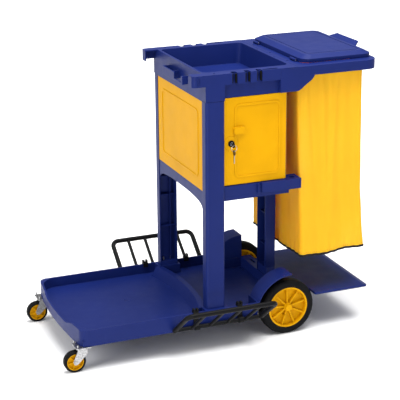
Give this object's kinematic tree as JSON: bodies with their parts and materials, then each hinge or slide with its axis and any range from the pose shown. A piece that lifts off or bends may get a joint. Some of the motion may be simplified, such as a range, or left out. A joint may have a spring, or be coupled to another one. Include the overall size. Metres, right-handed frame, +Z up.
{
  "type": "housekeeping cart",
  "caption": "Janitor cart: front bucket tray, lockable cabinet, tool tray, hinged-lid bag frame with cloth bag, fold-up platform and side racks, on large rear wheels and front casters.",
  "frame": {"origin": "on the floor, under the middle of the cart's length and width", "axes": "+X from the bucket tray towards the bag, +Y to the side away from the cabinet door, +Z up"},
  "size_m": [1.155, 0.8012, 0.9956],
  "materials": {
    "navy_plastic": "satin moulded",
    "yellow_plastic": "satin moulded",
    "black_plastic": "satin",
    "black_rubber": "matt",
    "black_tyre": "matt",
    "yellow_cloth": "coated cloth",
    "black_cloth": "woven binding",
    "zinc_steel": "zinc plated",
    "bright_metal": "bright plated",
    "steel": "plain"
  },
  "bodies": {
    "cart": {"base_tray": "navy_plastic", "front_post_left": "navy_plastic", "front_post_right": "navy_plastic", "rear_post": "navy_plastic", "middle_shelf": "navy_plastic", "top_tray": "navy_plastic", "bag_frame": "navy_plastic", "cabinet_front_panel": "yellow_plastic", "cabinet_side_panel": "yellow_plastic", "cabinet_back_panel": "navy_plastic", "door_hinge_pins": "steel", "lid_hinge_pins": "steel", "platform_hinge_pins": "steel", "lock_strike": "zinc_steel", "tool_grips": "black_rubber", "bag": "yellow_cloth", "bag_binding": "black_cloth", "bag_pegs": "black_plastic", "rack_clips_left": "black_plastic", "rack_clips_right": "black_plastic", "rear_axle": "zinc_steel", "axle_washers": "zinc_steel", "axle_caps": "yellow_plastic", "caster_plate_left": "zinc_steel", "caster_plate_right": "zinc_steel", "caster_screws": "steel", "post_screws": "steel", "shelf_screws": "steel", "tray_screws": "steel", "frame_screws": "steel"},
    "door": {"cabinet_door": "yellow_plastic", "lock_barrel": "black_plastic", "lock_nut": "bright_metal"},
    "lock": {"lock_plug": "bright_metal", "lock_cam": "zinc_steel", "lock_key": "black_plastic"},
    "keys": {"key_ring": "bright_metal", "spare_key": "bright_metal"},
    "lid": {"bag_lid": "navy_plastic"},
    "platform": {"rear_platform": "navy_plastic"},
    "side_rack_left": {"rack_left": "black_plastic"},
    "side_rack_right": {"rack_right": "black_plastic"},
    "rear_wheel_left": {"rear_wheel_hub_left": "yellow_plastic", "rear_wheel_tyre_left": "black_tyre"},
    "caster_left": {"caster_race_left": "zinc_steel", "caster_fork_left": "zinc_steel", "caster_axle_left": "steel"},
    "caster_wheel_left": {"caster_rim_left": "yellow_plastic", "caster_tyre_left": "black_tyre"},
    "rear_wheel_right": {"rear_wheel_hub_right": "yellow_plastic", "rear_wheel_tyre_right": "black_tyre"},
    "caster_right": {"caster_race_right": "zinc_steel", "caster_fork_right": "zinc_steel", "caster_axle_right": "steel"},
    "caster_wheel_right": {"caster_rim_right": "yellow_plastic", "caster_tyre_right": "black_tyre"}
  },
  "joints": [
    {"name": "door_hinge", "type": "hinge", "parent": "cart", "child": "door", "pos_m": [0.226, -0.22, 0.7285], "axis": [0, 0, 1], "range_deg": [0, 110]},
    {"name": "lock_turn", "type": "hinge", "parent": "door", "child": "lock", "pos_m": [0.028, -0.2285, 0.723], "axis": [0, 1, 0], "range_deg": [0, 90]},
    {"name": "key_ring_swing", "type": "hinge", "parent": "lock", "child": "keys", "pos_m": [0.028, -0.254, 0.723], "axis": [0, 1, 0], "range_deg": [-45, 45]},
    {"name": "lid_hinge", "type": "hinge", "parent": "cart", "child": "lid", "pos_m": [0.29, 0, 0.9705], "axis": [0, -1, 0], "range_deg": [0, 100]},
    {"name": "platform_fold", "type": "hinge", "parent": "cart", "child": "platform", "pos_m": [0.292, 0, 0.1315], "axis": [0, -1, 0], "range_deg": [0, 25]},
    {"name": "rack_left_fold", "type": "hinge", "parent": "cart", "child": "side_rack_left", "pos_m": [-0.035, -0.266, 0.102], "axis": [-1, 0, 0], "range_deg": [0, 52]},
    {"name": "rack_right_fold", "type": "hinge", "parent": "cart", "child": "side_rack_right", "pos_m": [-0.035, 0.266, 0.102], "axis": [1, 0, 0], "range_deg": [0, 52]},
    {"name": "rear_wheel_left_roll", "type": "hinge", "parent": "cart", "child": "rear_wheel_left", "pos_m": [0.247, -0.207, 0.1], "axis": [0, 1, 0], "continuous": true},
    {"name": "caster_left_swivel", "type": "hinge", "parent": "cart", "child": "caster_left", "pos_m": [-0.512, -0.231, 0.084], "axis": [0, 0, 1], "continuous": true},
    {"name": "caster_left_roll", "type": "hinge", "parent": "caster_left", "child": "caster_wheel_left", "pos_m": [-0.54, -0.231, 0.0375], "axis": [0, 1, 0], "continuous": true},
    {"name": "rear_wheel_right_roll", "type": "hinge", "parent": "cart", "child": "rear_wheel_right", "pos_m": [0.247, 0.207, 0.1], "axis": [0, 1, 0], "continuous": true},
    {"name": "caster_right_swivel", "type": "hinge", "parent": "cart", "child": "caster_right", "pos_m": [-0.512, 0.231, 0.084], "axis": [0, 0, 1], "continuous": true},
    {"name": "caster_right_roll", "type": "hinge", "parent": "caster_right", "child": "caster_wheel_right", "pos_m": [-0.54, 0.231, 0.0375], "axis": [0, 1, 0], "continuous": true}
  ]
}
